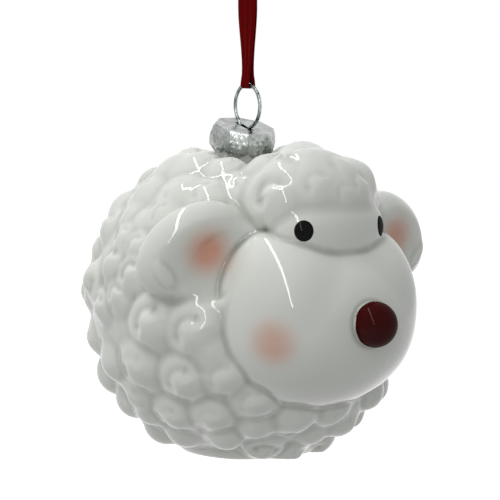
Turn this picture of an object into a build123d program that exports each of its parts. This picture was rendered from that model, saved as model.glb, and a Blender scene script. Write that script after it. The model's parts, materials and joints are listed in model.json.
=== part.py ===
"""A hanging blown-glass sheep ornament: a hollow woolly body, a stamped cap, a wire loop and a ribbon."""

import math
import os

from build123d import *

# Hanging height, from the hook under the ribbon's knot down to the wire
hang_drop = 44.0

# Wire hanger
wire_diameter = 0.9
loop_radius = 5.25
loop_bend_radius = 1.2
leg_spread = 2.0
leg_length = 16.0
leg_tip_length = 3.0
leg_bend_radius = 2.0
leg_clearance = 0.35

# Stamped cap
cap_radius = 8.5
cap_top_radius = 7.4
cap_mouth_radius = 7.9
cap_height = 6.7
cap_sheet = 0.5
cap_flat_depth = 0.25
cap_loop_gap = 0.65
cap_petals = 8
cap_scallop_radius = 2.9
cap_slot_width = 1.5
cap_slot_clearance = 0.5

# Glass neck
neck_lean = 15.0
neck_radius = 6.3
neck_bore_radius = 5.2
shoulder_radius = 10.1
shoulder_clearance = 1.2

# Hollow body
ball_radius = 38.4
glass_wall = 1.2
neck_rise = 9.4
foot_radius = 17.5
foot_height = 36.8
foot_rounding = 2.2

# Wool: curls as degrees round from the face, degrees up and a share of the usual radius
wool_radius = 5.3
wool_spacing = 9.4
wool_gap = 2.4
wool_relief_share = 0.62
wool_high_relief_share = 0.46
wool_size_shares = (1.0, 0.92, 1.06, 0.88)
wool_trials = 1500
right_curl_shares = (
    (-99, 1, 0.62), (-70, -2, 0.97), (-54, -4, 0.95), (-118, -13, 0.7), (-98, -20, 0.8), (-79, -19, 0.93),
    (-59, -22, 0.92), (-88, -32, 0.77), (-91, -41, 0.66), (-70, -39, 0.8), (-50, -38, 0.8), (-43, -20, 0.84),
    (-79, -54, 0.68), (-48, -11, 0.62), (-110, 61, 0.87), (-85, 64, 0.82), (-103, 45, 0.77), (-73, 47, 0.8),
    (-57, 47, 0.65), (-116, 29, 0.73), (-98, 35, 0.55), (-84, 33, 0.55), (-92, 26, 0.6), (-123, 20, 0.62),
    (-94, 17, 0.8), (-82, 24, 0.55), (-122, 10, 0.62), (-121, 2, 0.58), (-87, 6, 0.62), (-81, 14, 0.65),
    (-75, 37, 0.58), (8, -38, 0.77), (-12, -40, 0.8), (-32, -30, 0.82), (-31, -44, 0.68), (7, -52, 0.66),
    (-52, 63, 0.62), (-36, 52, 0.65),
)
crown_curl_shares = (
    (-61, 12, 0.95), (-35, 57, 1.05), (-24, 23, 0.75), (7, 44, 0.87), (18, 20, 0.77), (-1, 13, 0.55),
    (-60, 40, 0.55),
)

# Head
muzzle_size = (26.5, 25.0, 23.0)
muzzle_forward_share = 0.638
muzzle_drop_share = 0.005
nose_radius = 5.2
nose_proud = 5.9
brow_size = (12.6, 10.2, 9.0)
brow_forward_share = 0.854
brow_rise_share = 0.549
crown_size = (16.5, 14.8, 11.8)
crown_forward_share = 0.625
crown_rise_share = 0.674
ear_size = (14.5, 6.0, 9.8)
ear_place_shares = (0.768, 0.495, 0.417)
ear_turn = 20.0
ear_droop = 35.0
ear_hollow_share = 0.76
ear_hollow_offset_share = 1.1

# Painted coats
enamel = 0.25
nose_coat_depth_share = 0.3
eye_width = 4.3
eye_height = 4.8
eye_place_shares = (0.866, 0.5, 0.05)

# Ribbon
ribbon_width = 6.0
ribbon_thickness = 0.3
ribbon_gather_width = 3.0
ribbon_gather_height = 18.0
ribbon_wire_clearance = 0.35
ribbon_strand_gap = 0.7
ribbon_close_height = 8.0
ribbon_eye_radius = 2.6
ribbon_eye_drop = 14.0
knot_size = (3.4, 3.8, 3.6)
tail_length = 11.0
tail_lean = 16.0

cut_overrun = 2.0

# Places that follow from the sizes above
lean = math.radians(neck_lean)
neck_axis = Vector(0, -math.sin(lean), math.cos(lean))
neck_across = Vector(0, math.cos(lean), math.sin(lean))
wire_top = Vector(0, 0, -hang_drop)
loop_centre = wire_top - Vector(0, 0, loop_radius)
wire_plane = Plane(origin=loop_centre, x_dir=neck_across, z_dir=Vector(1, 0, 0))
turning_plane = Plane(origin=loop_centre, x_dir=Vector(1, 0, 0), z_dir=-neck_across)
turning_axis = Axis(loop_centre, neck_axis)
ball_centre = loop_centre - Vector(0, 0, ball_radius + neck_rise)

bend_span = loop_radius + loop_bend_radius
leg_start = -math.sqrt(bend_span**2 - (leg_spread + loop_bend_radius) ** 2)
cap_top = leg_start + loop_bend_radius - cap_loop_gap
neck_top = cap_top - cap_sheet
cap_mouth = cap_top - cap_height
shoulder_floor = cap_mouth - shoulder_clearance


def along_neck(height):
    """The plane square to the neck's axis at a height above the loop's centre."""
    return Plane(origin=loop_centre + neck_axis * height, x_dir=neck_across, z_dir=neck_axis)


def on_ball(forward, rise, side=0.0):
    """A place given from the middle of the body, as shares of its radius."""
    return ball_centre + Vector(side, -forward, rise) * ball_radius


muzzle_centre = on_ball(muzzle_forward_share, -muzzle_drop_share)
brow_centre = on_ball(brow_forward_share, brow_rise_share)
crown_centre = on_ball(crown_forward_share, crown_rise_share)
nose_direction = Vector(0, -1, 0)
nose_centre = muzzle_centre + nose_direction * (muzzle_size[1] - nose_radius + nose_proud)
foot_plane = Plane(ball_centre - Vector(0, 0, foot_height))


def ear_location(side):
    """Where one ear sits, turned back along the body and drooping at its tip."""
    across, forward, rise = ear_place_shares
    turned = Rotation(0, 0, side * ear_turn) * Rotation(0, side * ear_droop, 0)
    return Location(on_ball(forward, rise, side * across)) * turned


def ellipsoid(size, place, grow=0.0):
    """An ellipsoid of three half sizes, grown all round by an allowance."""
    return place * scale(Solid.make_sphere(1), by=tuple(half + grow for half in size))


def direction(turn, rise):
    """A direction given as degrees round from the face and degrees up."""
    around = math.radians(turn)
    above = math.radians(rise)
    return Vector(math.cos(above) * math.sin(around), -math.cos(above) * math.cos(around), math.sin(above))


def spread_evenly(count):
    """Directions spread evenly all round, along a spiral."""
    golden_turn = 180 * (3 - math.sqrt(5))
    for index in range(count):
        yield direction(index * golden_turn, math.degrees(math.asin(1 - (2 * index + 1) / count)))


def on_body(outward):
    """The place on the ball in a direction, and which way the surface faces there."""
    return ball_centre + outward * ball_radius, outward


def on_crown(outward):
    """The place on the crown in a direction, and which way the surface faces there."""
    reach = Vector(*(value * half for value, half in zip(outward, crown_size)))
    facing = Vector(*(value / half for value, half in zip(outward, crown_size)))
    return crown_centre + reach, facing.normalized()


def within(point, place, size, grow=0.0):
    """Whether a point lies inside an ellipsoid."""
    local = (place.inverse() * Location(point)).position
    return sum((value / (half + grow)) ** 2 for value, half in zip(local, size)) < 1


def crowded(point):
    """Whether a curl at this point would sit under the face, an ear or the cap, or down at the foot."""
    from_loop = point - loop_centre
    across = from_loop - neck_axis * from_loop.dot(neck_axis)
    return (
        (across.length < shoulder_radius + wool_gap and point.Z > ball_centre.Z)
        or point.Z < foot_plane.origin.Z + wool_gap
        or within(point, Location(muzzle_centre), muzzle_size, wool_gap)
        or within(point, Location(brow_centre), brow_size, wool_gap)
        or any(within(point, ear_location(side), ear_size, wool_gap) for side in (-1, 1))
    )


def wool_spots():
    """Where each curl sits, which way it faces and its radius: the named ones, then others packed close."""
    spots = []
    for curls, surface in ((right_curl_shares, on_body), (crown_curl_shares, on_crown)):
        for turn, rise, share in curls:
            spots.append((*surface(direction(turn, rise)), share * wool_radius))
    free = []
    for outward in spread_evenly(wool_trials):
        spot = on_body(outward)
        if not crowded(spot[0]) and not within(spot[0], Location(crown_centre), crown_size):
            free.append(spot)
        spot = on_crown(outward)
        if not crowded(spot[0]) and (spot[0] - ball_centre).length > ball_radius:
            free.append(spot)
    places = [tuple(spot[0]) for spot in free]
    gaps = [min(math.dist(place, tuple(other)) - radius for other, _, radius in spots) for place in places]
    gap = wool_spacing - wool_radius
    while max(gaps) > gap:
        pick = gaps.index(min(value for value in gaps if value > gap))
        radius = wool_radius * wool_size_shares[len(spots) % len(wool_size_shares)]
        spots.append((*free[pick], radius))
        gaps = [min(old, math.dist(place, places[pick]) - radius) for old, place in zip(gaps, places)]
    return spots


def curl(place, facing, radius):
    """A curl: part of a ball that stands out of the surface, flatter on the upper body."""
    high = place.Z > ball_centre.Z + ball_radius / 2
    relief = radius * (wool_high_relief_share if high else wool_relief_share)
    ball = (radius**2 + relief**2) / (2 * relief)
    return Location(place + facing * (relief - ball)) * Solid.make_sphere(ball)


os.makedirs("parts", exist_ok=True)

# Head forms, each with the hollow inside it
muzzle_form = ellipsoid(muzzle_size, Location(muzzle_centre))
muzzle_hollow = ellipsoid(muzzle_size, Location(muzzle_centre), -glass_wall)
brow_form = ellipsoid(brow_size, Location(brow_centre))
crown_form = ellipsoid(crown_size, Location(crown_centre))
crown_hollow = ellipsoid(crown_size, Location(crown_centre), -glass_wall)
ears = [ear_location(side) for side in (-1, 1)]
ear_dish = tuple(half * ear_hollow_share for half in ear_size)
ear_dish_shift = Location((0, -ear_size[1] * ear_hollow_offset_share, 0))
ear_forms = [ellipsoid(ear_size, place) for place in ears]
ear_dishes = [ellipsoid(ear_dish, place * ear_dish_shift) for place in ears]
wool = [curl(*spot) for spot in wool_spots()]

# Foot: the low round rim that the body stands on, with a flat underside
with BuildPart() as foot:
    with BuildSketch(foot_plane):
        Circle(foot_radius)
    extrude(amount=foot_height - math.sqrt(ball_radius**2 - foot_radius**2))
    fillet(foot.edges().sort_by(Axis.Z)[0], radius=foot_rounding)

# Glass body: the moulded outside, then the shoulder and neck, then the hollow
with BuildPart() as outside:
    with Locations(ball_centre):
        Sphere(ball_radius)
    add(wool)
    add(foot.part)
    split(bisect_by=foot_plane, keep=Keep.TOP)
    add(muzzle_form)
    add(brow_form)
    add(crown_form)
    with Locations(nose_centre):
        Sphere(nose_radius)
    add(ear_forms)
    add(ear_dishes, mode=Mode.SUBTRACT)
    with BuildSketch(along_neck(shoulder_floor)):
        Circle(shoulder_radius)
    extrude(amount=ball_radius, mode=Mode.SUBTRACT)
    with BuildSketch(along_neck(neck_top)):
        Circle(neck_radius)
    extrude(amount=-(neck_top - shoulder_floor + shoulder_radius))

with BuildPart() as hollow:
    with Locations(ball_centre):
        Sphere(ball_radius - glass_wall)
    split(bisect_by=foot_plane.offset(glass_wall), keep=Keep.TOP)
    add(muzzle_hollow)
    add(crown_hollow)
    with BuildSketch(along_neck(shoulder_floor - glass_wall)):
        Circle(shoulder_radius + glass_wall)
    extrude(amount=ball_radius, mode=Mode.SUBTRACT)
    with BuildSketch(along_neck(neck_top + cut_overrun)):
        Circle(neck_bore_radius)
    extrude(amount=-(neck_top - shoulder_floor + shoulder_radius + cut_overrun))


with BuildPart() as glass_body:
    add(outside.part)
    add(hollow.part, mode=Mode.SUBTRACT)

glass_body.part.label = "glass_body"
export_step(glass_body.part, "parts/glass_body.step")

# Nose coat: red enamel over the tip of the moulded nose
with BuildPart() as nose_enamel:
    with Locations(nose_centre):
        Sphere(nose_radius + enamel)
    coat_edge = nose_centre - nose_direction * nose_radius * nose_coat_depth_share
    split(bisect_by=Plane(coat_edge, z_dir=nose_direction))
    add(outside.part, mode=Mode.SUBTRACT)

nose_enamel.part.label = "nose_enamel"
export_step(nose_enamel.part, "parts/nose_enamel.step")

# Eye coats: oval dots of black enamel on the brow
brow_skin = ellipsoid(brow_size, Location(brow_centre), enamel)
for name, side in (("left_eye_enamel", 1), ("right_eye_enamel", -1)):
    reach = Vector(*(share * half for share, half in zip(eye_place_shares, brow_size)))
    outward = Vector(side * reach.X, -reach.Y, -reach.Z)
    facing = Plane(brow_centre, x_dir=Vector(outward.Y, -outward.X, 0), z_dir=outward)
    with BuildPart() as eye_enamel:
        with BuildSketch(facing):
            Ellipse(eye_width / 2, eye_height / 2)
        extrude(amount=max(brow_size) + cut_overrun)
        add(brow_skin, mode=Mode.INTERSECT)
        add([brow_form, muzzle_form], mode=Mode.SUBTRACT)
    eye_enamel.part.label = name
    export_step(eye_enamel.part, f"parts/{name}.step")

# Cap: a barrel-shaped crown stamped from thin sheet, with flats, scallops and a slot for the wire
with BuildPart() as cap:
    with BuildSketch(turning_plane):
        with BuildLine():
            skirt = ThreePointArc(
                (cap_top_radius, cap_top),
                (cap_radius, (cap_top + cap_mouth) / 2),
                (cap_mouth_radius, cap_mouth),
            )
            Line(skirt @ 1, (0, cap_mouth))
            Line((0, cap_mouth), (0, cap_top))
            Line((0, cap_top), skirt @ 0)
        make_face()
    revolve(axis=turning_axis)
    with BuildSketch(along_neck(cap_mouth)):
        flats = cap_radius - cap_flat_depth
        RegularPolygon(flats, cap_petals, major_radius=False, rotation=180 / cap_petals)
    extrude(amount=cap_height, mode=Mode.INTERSECT)
    with BuildSketch(turning_plane):
        with BuildLine():
            inside = ThreePointArc(
                (cap_top_radius - cap_sheet, cap_top - cap_sheet),
                (cap_radius - cap_sheet - cap_flat_depth, (cap_top + cap_mouth) / 2),
                (cap_mouth_radius - cap_sheet, cap_mouth),
            )
            Line(inside @ 1, (0, cap_mouth))
            Line((0, cap_mouth), (0, cap_top - cap_sheet))
            Line((0, cap_top - cap_sheet), inside @ 0)
        make_face()
    revolve(axis=turning_axis, mode=Mode.SUBTRACT)
    with BuildSketch(along_neck(cap_top - cap_sheet)):
        SlotOverall(2 * (leg_spread + loop_bend_radius + cap_slot_clearance), cap_slot_width)
    extrude(amount=cap_sheet, mode=Mode.SUBTRACT)
    with Locations(along_neck(cap_mouth).location):
        with PolarLocations(cap_radius, cap_petals, start_angle=180 / cap_petals):
            Cylinder(cap_scallop_radius, cap_radius, rotation=(0, 90, 0), mode=Mode.SUBTRACT)

cap.part.label = "cap"
export_step(cap.part, "parts/cap.step")

# Wire hanger: a round loop whose two legs turn down through the slot and spring apart in the neck
bend_turn = math.degrees(math.atan2(-leg_start, leg_spread + loop_bend_radius))
leg_reach = neck_bore_radius - leg_clearance - wire_diameter / 2
with BuildPart() as hanger_wire:
    with BuildLine(wire_plane) as route:
        bends = []
        for side, first in ((-1, 0), (1, 180)):
            middle = (side * (leg_spread + loop_bend_radius), leg_start)
            bends.append(CenterArc(middle, loop_bend_radius, first, -side * bend_turn))
            FilletPolyline(
                (side * leg_spread, leg_start),
                (side * leg_spread, leg_start - leg_bend_radius),
                (side * leg_reach, leg_start - leg_length),
                (side * leg_reach, leg_start - leg_length - leg_tip_length),
                radius=leg_bend_radius,
            )
        ThreePointArc(bends[0] @ 1, (0, loop_radius), bends[1] @ 1)
    path = route.wires()[0]
    with BuildSketch(Plane(path @ 0, z_dir=path % 0)):
        Circle(wire_diameter / 2)
    sweep(path=path)

hanger_wire.part.label = "hanger_wire"
export_step(hanger_wire.part, "parts/hanger_wire.step")


def ribbon_outline(grow):
    """The ribbon's long loop from the side: round the wire, up as two close strands, then the eye."""
    bight = wire_diameter / 2 + ribbon_wire_clearance + grow
    strand = ribbon_strand_gap / 2 + grow
    eye = ribbon_eye_radius + grow
    eye_height = -ribbon_eye_radius - ribbon_thickness
    with BuildSketch(Plane.XZ) as outline:
        with BuildLine():
            ThreePointArc((-bight, -hang_drop), (0, -hang_drop - bight), (bight, -hang_drop))
            ThreePointArc((-eye, eye_height), (0, eye_height + eye), (eye, eye_height))
            for side in (-1, 1):
                Polyline(
                    (side * bight, -hang_drop),
                    (side * strand, ribbon_close_height - hang_drop),
                    (side * strand, -ribbon_eye_drop),
                    (side * eye, eye_height),
                )
        make_face()
    return outline.sketch


# Ribbon: one flat strip doubled round the wire, gathered narrow where it passes through the loop
ribbon_outside = ribbon_outline(ribbon_thickness)
ribbon_inside = ribbon_outline(0)
with BuildPart() as ribbon:
    extrude(ribbon_outside, amount=ribbon_width / 2, both=True)
    extrude(ribbon_inside, amount=ribbon_width / 2, both=True, mode=Mode.SUBTRACT)
    bight = wire_diameter / 2 + ribbon_wire_clearance + ribbon_thickness
    with BuildSketch(Plane.YZ):
        with BuildLine():
            Polyline(
                (0, -hang_drop - bight),
                (ribbon_gather_width / 2, -hang_drop - bight),
                (ribbon_gather_width / 2, -hang_drop),
                (ribbon_width / 2, ribbon_gather_height - hang_drop),
                (ribbon_width / 2, 0),
                (0, 0),
                close=True,
            )
        make_face()
        mirror(about=Plane.YZ)
    extrude(amount=ribbon_eye_radius + ribbon_thickness, both=True, mode=Mode.INTERSECT)

ribbon.part.label = "ribbon"
export_step(ribbon.part, "parts/ribbon.step")

# Knot: the tied lump over the eye, with the two cut ends rising out of it
knot_form = ellipsoid(knot_size, Location((0, 0, knot_size[2] - ribbon_thickness)))
with BuildPart() as ribbon_knot:
    add(knot_form)
    for side in (-1, 1):
        upright = Plane((0, 0, knot_size[2]), x_dir=(1, 0, 0), z_dir=(0, -1, 0))
        with BuildSketch(upright.rotated((0, side * tail_lean, 0))):
            with Locations((0, tail_length / 2)):
                Rectangle(ribbon_thickness, tail_length)
        extrude(amount=ribbon_width / 2, both=True)
    extrude(ribbon_outside, amount=ribbon_width, both=True, mode=Mode.SUBTRACT)

ribbon_knot.part.label = "ribbon_knot"
export_step(ribbon_knot.part, "parts/ribbon_knot.step")
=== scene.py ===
"""Dresses the hanging sheep ornament: lacquered glass, enamel, a stamped cap, a wire and a satin ribbon."""

import json
import math
from collections import namedtuple

import bpy
import numpy as np
from bpy.props import FloatProperty, FloatVectorProperty, IntProperty, PointerProperty
from mathutils import Matrix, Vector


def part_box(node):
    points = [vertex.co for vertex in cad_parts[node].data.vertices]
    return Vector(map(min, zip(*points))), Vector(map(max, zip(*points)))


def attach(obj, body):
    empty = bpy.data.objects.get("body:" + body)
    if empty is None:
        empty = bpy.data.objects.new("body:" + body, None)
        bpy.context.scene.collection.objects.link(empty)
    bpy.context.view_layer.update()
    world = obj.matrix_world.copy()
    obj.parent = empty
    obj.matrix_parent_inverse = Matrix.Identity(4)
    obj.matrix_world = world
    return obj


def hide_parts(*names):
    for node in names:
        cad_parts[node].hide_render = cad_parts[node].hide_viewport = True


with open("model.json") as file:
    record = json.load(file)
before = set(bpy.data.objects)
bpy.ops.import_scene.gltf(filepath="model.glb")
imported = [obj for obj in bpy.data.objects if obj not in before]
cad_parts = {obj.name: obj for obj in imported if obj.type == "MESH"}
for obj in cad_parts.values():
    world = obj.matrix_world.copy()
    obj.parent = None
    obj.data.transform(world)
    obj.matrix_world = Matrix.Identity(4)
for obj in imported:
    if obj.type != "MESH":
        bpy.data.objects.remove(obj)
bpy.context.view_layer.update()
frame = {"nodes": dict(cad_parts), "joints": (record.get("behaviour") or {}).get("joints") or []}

bl_info = {
    "name": "Glass Sheep Ornament",
    "version": (1, 0, 0),
    "blender": (4, 5, 0),
    "location": "View3D > Sidebar > Ornament",
    "description": "Dresses a hanging glass sheep in lacquer, enamel, stamped silver and satin",
    "category": "Object",
}

# Places that come from the frame
JOINTS = {joint["name"]: joint for joint in frame["joints"]}
WIRE_TOP = np.array(JOINTS["swing"]["pos_m"], float)
LOOP_CENTRE = np.array(JOINTS["glass_turn"]["pos_m"], float)
NECK_AXIS = np.array(JOINTS["glass_turn"]["axis"], float)
NECK_SIDE = np.array((1.0, 0.0, 0.0))
NECK_BACK = np.cross(NECK_AXIS, NECK_SIDE)
FOOT_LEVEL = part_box("glass_body")[0].z

# The photograph's frame, in pixels
PHOTO_PIXELS = 500
# Curls of wool that the photograph shows: degrees round from the face, degrees up, a share of the usual
# radius and how deep the swirl in it is
BODY_CURLS = (
    (-99, 1, 0.62, 0.5), (-70, -2, 0.97, 1.0), (-54, -4, 0.95, 0.9), (-118, -13, 0.7, 0.3),
    (-98, -20, 0.8, 0.2), (-79, -19, 0.93, 0.4), (-59, -22, 0.92, 0.7), (-88, -32, 0.77, 0.3),
    (-91, -41, 0.66, 0.0), (-70, -39, 0.8, 0.4), (-50, -38, 0.8, 0.3), (-43, -20, 0.84, 0.3),
    (-79, -54, 0.68, 0.0), (-48, -11, 0.62, 0.0), (-110, 61, 0.87, 0.0), (-85, 64, 0.82, 0.0),
    (-103, 45, 0.77, 0.6), (-73, 47, 0.8, 0.3), (-57, 47, 0.65, 0.3), (-116, 29, 0.73, 0.7),
    (-98, 35, 0.55, 0.0), (-84, 33, 0.55, 0.0), (-92, 26, 0.6, 0.3), (-123, 20, 0.62, 0.0),
    (-94, 17, 0.8, 1.0), (-82, 24, 0.55, 0.3), (-122, 10, 0.62, 0.3), (-121, 2, 0.58, 0.0),
    (-87, 6, 0.62, 0.4), (-81, 14, 0.65, 0.6), (-75, 37, 0.58, 0.3), (8, -38, 0.77, 0.3),
    (-12, -40, 0.8, 0.2), (-32, -30, 0.82, 0.3), (-31, -44, 0.68, 0.0), (7, -52, 0.66, 0.0),
    (-52, 63, 0.62, 0.0), (-36, 52, 0.65, 0.3),
)
CROWN_CURLS = (
    (-61, 12, 0.95, 1.3), (-35, 57, 1.05, 0.3), (-24, 23, 0.75, 0.5), (7, 44, 0.87, 0.4),
    (18, 20, 0.77, 0.6), (-1, 13, 0.55, 0.3), (-60, 40, 0.55, 0.0),
)
# Sizes of the curls packed round the rest of the body, one after the other
SIZE_SHARES = (1.0, 0.92, 1.06, 0.88)
# Where the pink is sprayed, in the photograph's pixels across and down, and how strongly
BLUSHES = (((273, 344), 0.68), ((207, 251), 0.95))
# How far behind a curl's middle its swirl ends, and over what length it fades, as shares of the way out
GROOVE_END, GROOVE_FADE = 0.35, 0.8
# Least and greatest depth of the swirls in the unseen curls
SWIRL_DEPTHS = (0.4, 1.0)
# Waves of the blown glass along the three axes, in radians per metre, and where each starts
RIPPLE_WAVES = (310.0, 270.0, 290.0)
RIPPLE_STARTS = (1.3, 0.4, 0.0)
# Waves in the edge of the nose's paint: how many go round, where they start and how strong they are
NOSE_WAVES = ((3, 0.6, 1.0), (5, 2.0, 0.6), (8, 0.0, 0.4))
# Dots stamped into a panel beside the ring of them, as shares of its width and height
LOOSE_DOT_SHARES = ((-0.14, 0.76), (0.14, 0.76), (0.0, 0.88), (-0.33, 0.12), (0.33, 0.12))
# The front strand's route in metres, from under the wire up to the knot; the back strand mirrors it
STRAND_ROUTE = (
    (0.0, 0.0, -0.04475),
    (-0.00100, 0.0, -0.04475),
    (-0.00096, 0.0, -0.04370),
    (-0.00026, 0.0, -0.04000),
    (-0.00026, 0.0, -0.02000),
    (-0.00026, 0.0, -0.01400),
    (-0.00290, 0.0, -0.00720),
    (-0.00290, 0.0, -0.00250),
    (-0.00120, 0.0, -0.00020),
    (0.0, 0.0, 0.0016),
)
# Axes of the two turns of ribbon round the knot
KNOT_TURNS = ((0.35, 0.25, 0.9), (-0.75, 0.3, 0.6))
# The lights: which way they lie, as parts right, up and towards the camera, then distance and sizes in
# metres and how bright they are; a mirrored one shows as a highlight in the gloss
Light = namedtuple("Light", "name direction distance width length radiance mirrored")
LIGHTS = (
    Light("tube", (-0.27, 0.82, 0.51), 0.70, 0.050, 2.40, 11.0, True),
    Light("ceiling", (-0.25, 0.95, 0.0), 0.62, 0.30, 0.30, 1.7, False),
    Light("window", (-0.85, 0.42, 0.32), 0.75, 0.04, 0.50, 13.0, False),
)
# A light is high up when more than this part of its direction is up
HIGH_UP = 0.8
WHITE = (1.0, 1.0, 1.0)
MILLIMETRES_IN_A_METRE = 1000
NEARLY_ZERO = 1e-9
Curl = namedtuple("Curl", "spot middle radius claim spread outward bow depth")


def length(name, default, description):
    """A length in metres."""
    return FloatProperty(name=name, description=description, default=default, unit="LENGTH", precision=5)


def angle(name, degrees, description):
    """An angle, written in degrees."""
    return FloatProperty(name=name, description=description, default=math.radians(degrees), subtype="ANGLE")


def share(name, default, description):
    """A share of another size, or the strength of an effect."""
    return FloatProperty(name=name, description=description, default=default, min=0.0, precision=3)


def count(name, default, description):
    """A number of things."""
    return IntProperty(name=name, description=description, default=default, min=1)


def place(name, default, description):
    """A place or three half sizes, in metres."""
    return FloatVectorProperty(
        name=name, description=description, default=default, subtype="XYZ", unit="LENGTH"
    )


def colour(name, default, description):
    """A colour as Blender's linear values."""
    return FloatVectorProperty(
        name=name, description=description, default=default, subtype="COLOR", min=0.0, max=1.0
    )


class BodySizes(bpy.types.PropertyGroup):
    """The ball of the body, its foot and the neck."""

    rise: length("Rise", 0.0368, "Height of the ball's middle above the foot")
    ball_radius: length("Ball radius", 0.0384, "Radius of the ball under the wool")
    foot_radius: length("Foot radius", 0.0175, "Radius of the rim that the body stands on")
    foot_height: length("Foot height", 0.0095, "Height of the rim")
    foot_rounding: length("Foot rounding", 0.0022, "Rounding of the rim")
    neck_radius: length("Neck radius", 0.0063, "Radius of the neck under the cap")
    bore_radius: length("Bore radius", 0.0052, "Radius of the hole in the neck")
    bore_depth: length("Bore depth", 0.029, "Depth of the hole below the loop's middle")
    cap_room: length("Cap room", 0.0012, "Gap between the cap's petals and the glass below")
    well_room: length("Well room", 0.0016, "Gap between the cap and the glass round it")
    well_softness: length("Well softness", 0.0016, "Rounding of the edge of the well round the neck")
    hollow_slope: share("Hollow slope", 0.25, "How steeply the glass rises away from the cap")
    hollow_drop: length("Hollow drop", 0.0004, "How far the glass beside the cap lies below its petals")
    hollow_softness: length("Hollow softness", 0.0030, "Rounding of the edge of the hollow round the cap")
    ripple: length("Ripple", 0.00012, "Unevenness of the blown glass")
    mesh_step: length("Mesh step", 0.00056, "Size of the mesh's faces")


class WoolSizes(bpy.types.PropertyGroup):
    """The moulded curls of wool."""

    curl_radius: length("Curl radius", 0.0053, "Radius of an ordinary curl")
    spacing: length("Spacing", 0.0094, "Least distance between two curls")
    relief_share: share("Relief", 0.62, "Height of a curl over the ball, as a share of its radius")
    high_relief_share: share("High relief", 0.46, "The same share for the flatter curls near the top")
    fullness: share("Fullness", 1.24, "How far the seen curls spread over their neighbours")
    crease: length("Crease", 0.0017, "Softness of the crease between curls")
    groove_depth: length("Groove depth", 0.0011, "Depth of the swirl pressed into a curl")
    groove_ring_share: share("Groove ring", 0.56, "Radius of the swirl, as a share of the curl")
    groove_width_share: share("Groove width", 0.28, "Width of the swirl, as a share of the curl")
    head_room: length("Head room", 0.0024, "Gap kept between curls and the face, ears, cap and foot")
    trials: count("Trials", 1500, "Number of places tried for the unseen curls")
    swirled_share: share("Swirled", 0.55, "How many of the unseen curls have a swirl")
    seed: count("Seed", 11, "Which of the scattered layouts is used")


class HeadSizes(bpy.types.PropertyGroup):
    """The face, the crown of wool and the ears, measured from the middle of the ball."""

    muzzle: place("Muzzle", (0.0, -0.0245, -0.0015), "Middle of the muzzle")
    muzzle_half: place("Muzzle size", (0.0265, 0.0250, 0.0217), "Half sizes of the muzzle")
    cheek: place("Cheek", (0.0118, -0.0270, 0.0064), "Middle of the left cheek's top")
    cheek_half: place("Cheek size", (0.0121, 0.0164, 0.0146), "Half sizes of a cheek's top")
    cheek_softness: length("Cheek softness", 0.0040, "Softness between the cheeks and the muzzle")
    face_crease: length("Face crease", 0.0008, "Softness of the edge where the face meets the wool")
    brow: place("Brow", (0.0, -0.0322, 0.0200), "Middle of the brow")
    brow_half: place("Brow size", (0.0152, 0.0093, 0.0105), "Half sizes of the brow")
    muzzle_room: place("Muzzle room", (0.0, -0.0245, -0.0002), "Middle of the room kept for the muzzle")
    muzzle_room_half: place("Muzzle room size", (0.0265, 0.0250, 0.0230), "Half sizes of that room")
    brow_room: place("Brow room", (0.0, -0.0328, 0.0211), "Middle of the room kept for the brow")
    brow_room_half: place("Brow room size", (0.0126, 0.0102, 0.0090), "Half sizes of that room")
    brow_crease: length("Brow crease", 0.0011, "Softness of the edge under the brow")
    crown: place("Crown", (0.0, -0.0240, 0.0259), "Middle of the wool on the head")
    crown_half: place("Crown size", (0.0165, 0.0148, 0.0118), "Half sizes of the wool on the head")
    ear: place("Ear", (0.0295, -0.0190, 0.0160), "Middle of the left ear")
    ear_half: place("Ear size", (0.0139, 0.0060, 0.0095), "Half sizes of an ear")
    ear_room_half: place("Ear room size", (0.0145, 0.0060, 0.0098), "Half sizes of the room kept for an ear")
    ear_crease: length("Ear crease", 0.0024, "Softness of the edge where an ear meets the wool")
    ear_turn: angle("Ear turn", 20.0, "How far an ear is turned back")
    ear_droop: angle("Ear droop", 35.0, "How far an ear's tip droops")
    ear_edge: length("Ear edge", 0.0014, "Softness of the ear's rim")
    dish: place("Dish", (0.0005, -0.0306, -0.0090), "Middle of an ear's hollow, in the ear's own directions")
    dish_half: place("Dish size", (0.0600, 0.0275, 0.0350), "Half sizes of an ear's hollow")
    fold: place("Fold", (0.0088, -0.0036, -0.0004), "Middle of the fold in an ear's tip")
    fold_half: place("Fold size", (0.0011, 0.0010, 0.0030), "Half sizes of the fold in an ear's tip")
    pit: place("Pit", (-0.0046, -0.0060, -0.0066), "Middle of the sunk place between an ear and the face")
    pit_half: place("Pit size", (0.0113, 0.0033, 0.0066), "Half sizes of that sunk place")
    pit_softness: length("Pit softness", 0.0022, "Rounding of the sunk place's edge")
    nose_radius: length("Nose radius", 0.0052, "Radius of the nose's ball")
    nose_crease: length("Nose crease", 0.0007, "Softness of the edge round the nose")


class EnamelSizes(bpy.types.PropertyGroup):
    """The coats of paint on the nose and the eyes."""

    solid_coat: length("Solid coat", 0.00025, "Thickness of the CAD solids' coats")
    thickness: length("Thickness", 0.00016, "How far the paint stands over the glass")
    sunk: length("Sunk", 0.00025, "How far the back of a coat lies in the glass")
    nose_depth: length("Nose depth", 0.0060, "How far behind the nose's middle its paint is measured from")
    nose_spread: angle("Nose spread", 46.5, "How far the red paint reaches, seen from that depth")
    nose_wobble: angle("Nose wobble", 0.7, "Unevenness of the red paint's edge")
    eye_width: length("Eye width", 0.0043, "Width of an eye")
    eye_height: length("Eye height", 0.0048, "Height of an eye")


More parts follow.
